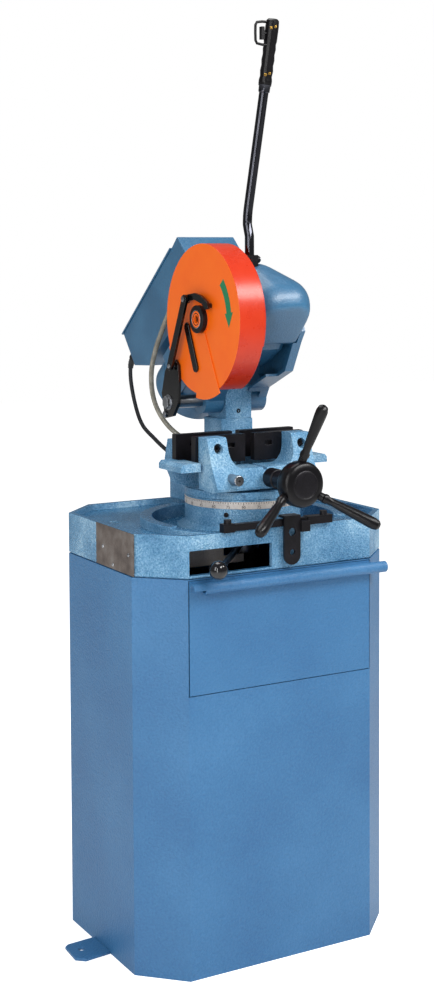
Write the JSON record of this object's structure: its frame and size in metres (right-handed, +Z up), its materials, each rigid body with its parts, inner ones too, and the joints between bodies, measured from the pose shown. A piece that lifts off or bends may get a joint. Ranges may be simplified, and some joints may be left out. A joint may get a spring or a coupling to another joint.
{
  "type": "cold saw",
  "caption": "Manual pull-down circular cold saw with swivel head, swinging blade guard, screw vise and coolant drawer on an eight-sided cabinet.",
  "frame": {"origin": "on the floor, midway between the two floor bolts, under the middle of the cabinet", "axes": "+Z up, -Y towards the operator, +X to the operator's right, along the blade's spindle"},
  "size_m": [0.784, 0.942, 2.0255],
  "materials": {
    "sheet_blue": "sheet metal, textured light blue enamel",
    "cast_blue": "casting, hammered light blue enamel",
    "black_enamel": "black enamel, satin",
    "black_oxide": "black oxide steel",
    "machined_steel": "machined steel",
    "black_plastic": "black moulded plastic",
    "orange_enamel": "orange enamel",
    "stainless": "brushed stainless sheet",
    "bronze": "machined bronze",
    "cable_rubber": "black rubber sheath",
    "hose_plastic": "clear hose, yellowed",
    "galvanised": "zinc-plated sheet steel"
  },
  "bodies": {
    "base": {"cabinet": "sheet_blue", "floor_anchors": "sheet_blue", "drawer_rails": "galvanised", "chip_tray": "cast_blue", "tray_side_plate": "stainless", "tray_slot_plate": "stainless", "base_post": "machined_steel", "vise_bed": "cast_blue", "rear_jaw_left": "black_oxide", "rear_jaw_right": "black_oxide", "guide_rods": "machined_steel", "stop_bar": "black_oxide"},
    "drawer": {"front_panel": "sheet_blue", "coolant_tank": "galvanised", "coolant_pump": "black_plastic"},
    "stop": {"stop_bracket": "black_oxide"},
    "lock": {"lock_lever": "machined_steel", "lock_ball": "black_plastic"},
    "turntable": {"turntable": "cast_blue", "degree_scale": "machined_steel", "column": "cast_blue", "pivot_block": "cast_blue", "pivot_shaft": "machined_steel", "linkage_bracket": "black_enamel", "linkage_nut": "machined_steel", "cord_glands": "black_plastic", "power_cable": "cable_rubber", "coolant_hose": "hose_plastic"},
    "head": {"head_casting": "cast_blue", "gear_housing": "cast_blue", "gear_cover": "cast_blue", "spindle_bearings": "machined_steel", "motor_frame": "cast_blue", "motor_fan_cover": "cast_blue", "terminal_box": "cast_blue", "control_box": "sheet_blue", "control_box_lid": "sheet_blue", "box_gland": "black_plastic", "fixed_guard": "orange_enamel", "guard_hub": "black_oxide", "lever_socket": "black_oxide", "lever_rod": "black_enamel", "lever_grip": "black_plastic"},
    "trigger": {"trigger": "black_plastic"},
    "blade": {"spindle": "machined_steel", "worm_wheel": "bronze", "saw_blade": "machined_steel", "blade_flanges": "machined_steel"},
    "worm": {"worm_shaft": "machined_steel"},
    "drum": {"guard_drum": "orange_enamel", "drum_arm": "black_enamel"},
    "flap": {"guard_flap": "orange_enamel", "flap_arm": "black_enamel"},
    "link": {"guard_link": "black_enamel"},
    "carriage": {"vise_carriage": "cast_blue", "front_jaw_left": "black_oxide", "front_jaw_right": "black_oxide", "jaw_screws": "black_oxide"},
    "handwheel": {"vise_screw": "machined_steel", "handwheel": "black_plastic"}
  },
  "joints": [
    {"name": "drawer_slide", "type": "slide", "parent": "base", "child": "drawer", "axis": [0, -1, 0], "range_m": [0, 0.3]},
    {"name": "stop_slide", "type": "slide", "parent": "base", "child": "stop", "axis": [1, 0, 0], "range_m": [-0.1, 0]},
    {"name": "lock_swing", "type": "hinge", "parent": "base", "child": "lock", "pos_m": [0, -0.08, 0.872], "axis": [0, 0, 1], "range_deg": [-8, 25]},
    {"name": "head_swivel", "type": "hinge", "parent": "base", "child": "turntable", "pos_m": [0, -0.08, 0.95], "axis": [0, 0, 1], "range_deg": [-45, 0]},
    {"name": "head_pivot", "type": "hinge", "parent": "turntable", "child": "head", "pos_m": [0, 0.135, 1.168], "axis": [1, 0, 0], "range_deg": [0, 45], "stiffness_Nm_per_rad": 120, "springref_deg": -68.75},
    {"name": "guard_link_swing", "type": "hinge", "parent": "turntable", "child": "link", "pos_m": [-0.08, 0.107, 1.253], "axis": [1, 0, 0], "range_deg": [0, 68]},
    {"name": "guard_drum_turn", "type": "hinge", "parent": "head", "child": "drum", "pos_m": [0, -0.008, 1.363], "axis": [1, 0, 0], "range_deg": [-46, 0]},
    {"name": "guard_flap_turn", "type": "hinge", "parent": "head", "child": "flap", "pos_m": [0, -0.008, 1.363], "axis": [1, 0, 0], "range_deg": [0, 36.5]},
    {"name": "blade_spin", "type": "hinge", "parent": "head", "child": "blade", "pos_m": [0, -0.008, 1.363], "axis": [1, 0, 0], "continuous": true},
    {"name": "worm_spin", "type": "hinge", "parent": "head", "child": "worm", "pos_m": [0.08, 0.02756, 1.4069], "axis": [0, 0.7771, -0.6293], "continuous": true},
    {"name": "trigger_press", "type": "slide", "parent": "head", "child": "trigger", "axis": [1, 0, 0], "range_m": [0, 0.004], "stiffness_N_per_m": 600, "springref_m": -0.002},
    {"name": "vise_slide", "type": "slide", "parent": "base", "child": "carriage", "axis": [0, 1, 0], "range_m": [-0.03, 0.04]},
    {"name": "handwheel_spin", "type": "hinge", "parent": "carriage", "child": "handwheel", "pos_m": [0, -0.3, 1.03], "axis": [0, 1, 0], "range_deg": [-2710, 3610]}
  ],
  "couplings": [
    {"joint": "guard_link_swing", "follows": "head_pivot", "ratio": 1.462},
    {"joint": "guard_drum_turn", "follows": "head_pivot", "ratio": -0.983},
    {"joint": "guard_flap_turn", "follows": "head_pivot", "ratio": 0.781},
    {"joint": "worm_spin", "follows": "blade_spin", "ratio": 38},
    {"joint": "handwheel_spin", "follows": "vise_slide", "rad_per_m": 1570.8}
  ]
}
